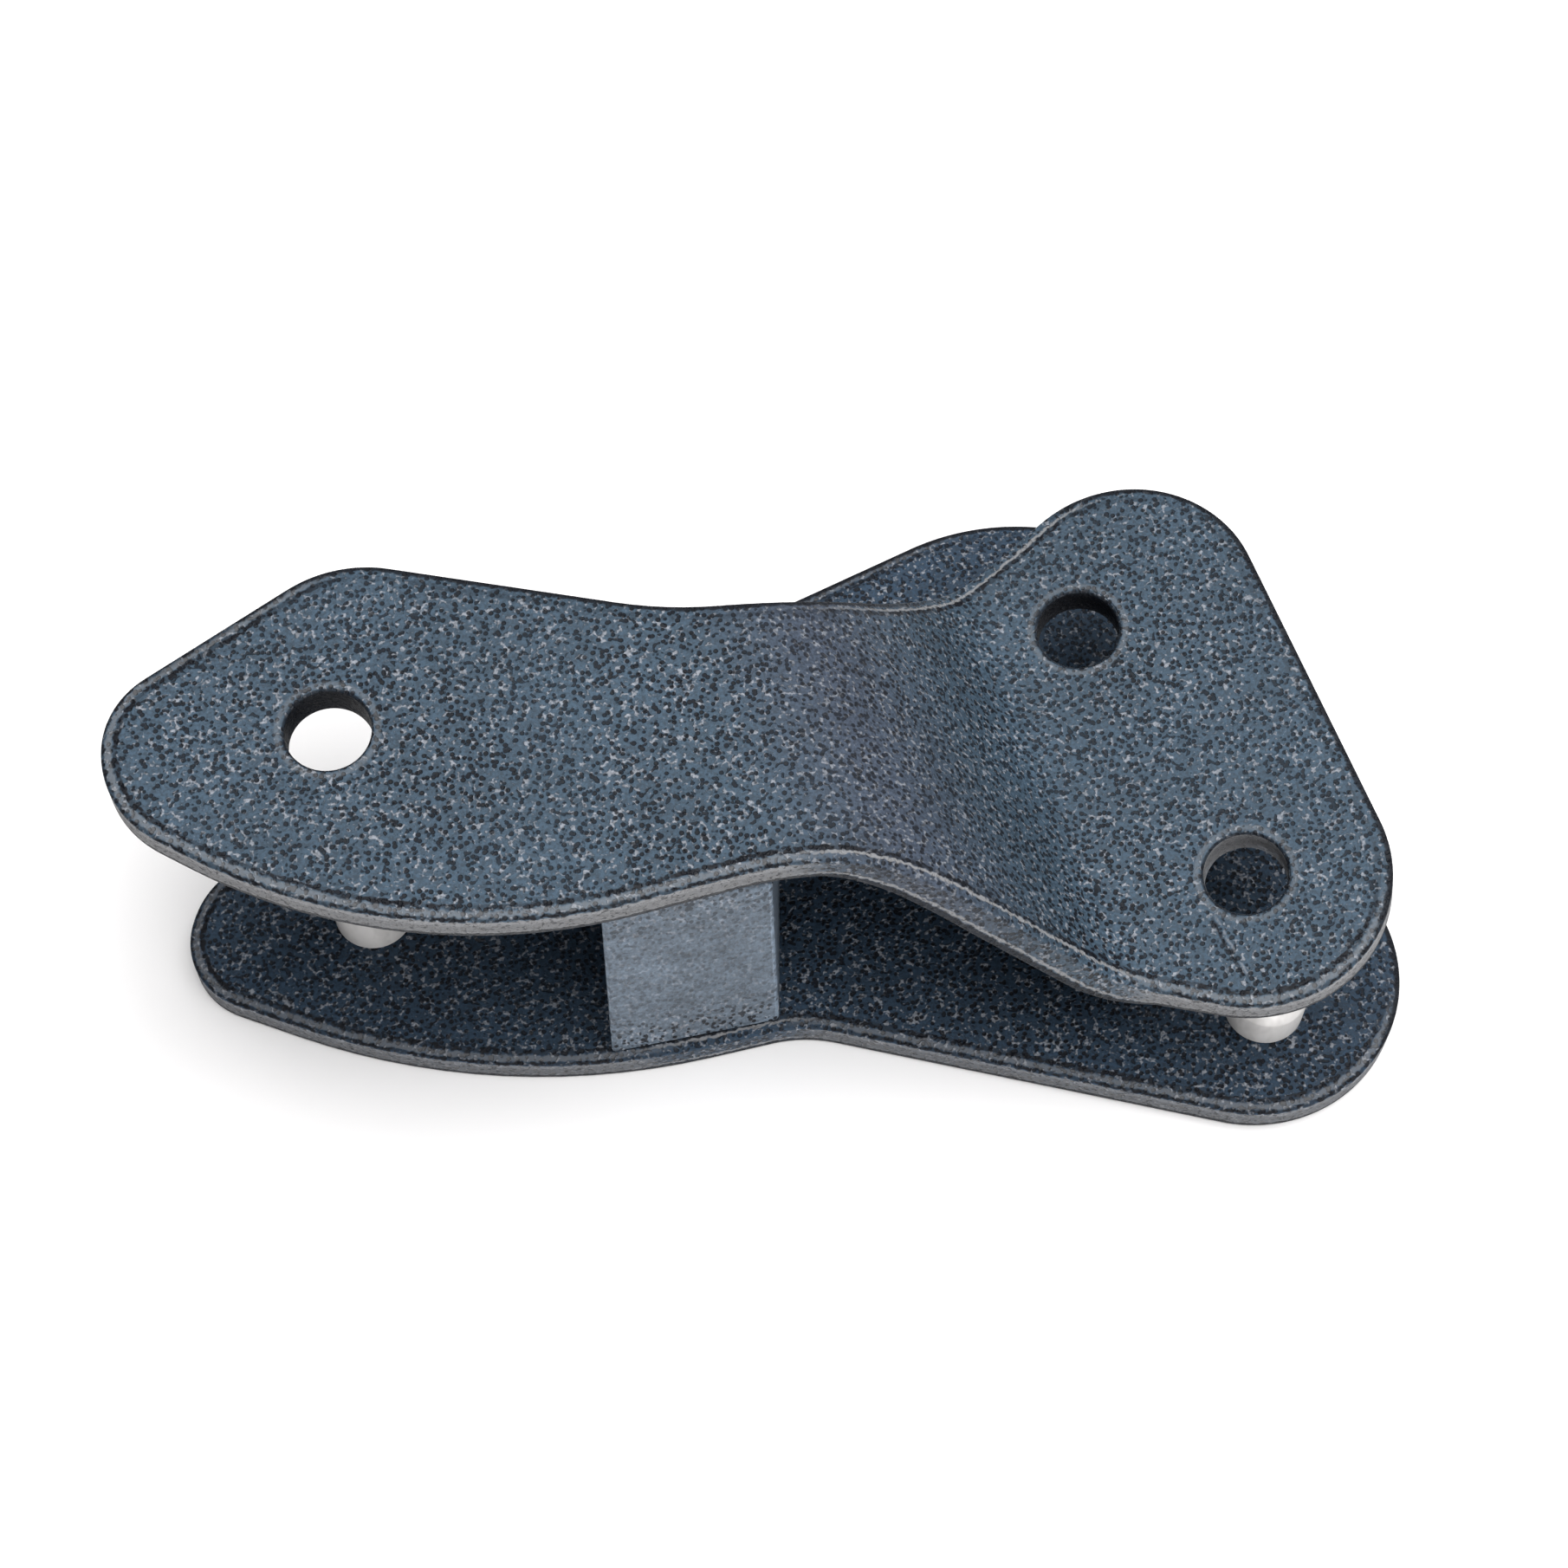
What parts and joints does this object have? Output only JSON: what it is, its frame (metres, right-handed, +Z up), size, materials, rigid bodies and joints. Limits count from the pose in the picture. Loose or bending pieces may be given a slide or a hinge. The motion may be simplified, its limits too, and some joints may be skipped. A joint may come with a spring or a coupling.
{
  "type": "hand castanets",
  "caption": "Twin-plate hand castanets: a bent upper clapper rocks on a spine block and strikes domed posts on a flat lower clapper.",
  "frame": {"origin": "centre of the footprint, on the underside of the lower clapper", "axes": "+Z up from the lower clapper, +X towards the wide lobe, -Y towards the player"},
  "size_m": [0.1488, 0.0787, 0.0487],
  "materials": {
    "clapper_coat": "pebbled satin, dark blue grey",
    "block_coat": "fine-grained satin, dark blue grey",
    "post_nickel": "satin nickel",
    "fastener_steel": "zinc-plated, satin",
    "bracket_steel": "folded sheet, satin",
    "spring_steel": "drawn wire",
    "bush_brass": "turned"
  },
  "bodies": {
    "base": {"lower_clapper": "clapper_coat", "spine_block": "block_coat", "striker_post_left": "post_nickel", "striker_post_right_front": "post_nickel", "striker_post_right_rear": "post_nickel", "post_screw_left": "fastener_steel", "post_screw_right_front": "fastener_steel", "post_screw_right_rear": "fastener_steel", "block_screw_front": "fastener_steel", "block_screw_rear": "fastener_steel", "block_insert_front": "bush_brass", "block_insert_rear": "bush_brass", "pivot_pin": "fastener_steel", "pin_set_screw": "fastener_steel", "return_spring_left": "spring_steel", "return_spring_right": "spring_steel"},
    "clapper": {"upper_clapper": "clapper_coat", "hinge_bracket": "bracket_steel", "pivot_bush_front": "bush_brass", "pivot_bush_rear": "bush_brass", "bracket_screw_front": "fastener_steel", "bracket_screw_rear": "fastener_steel"}
  },
  "joints": [
    {"name": "clapper_rock", "type": "hinge", "parent": "base", "child": "clapper", "pos_m": [-0.0101, -0.0145, 0.038], "axis": [0, 1, 0], "range_deg": [-12, 9], "stiffness_Nm_per_rad": 0.9, "deforming": ["return_spring_left", "return_spring_right"]}
  ]
}
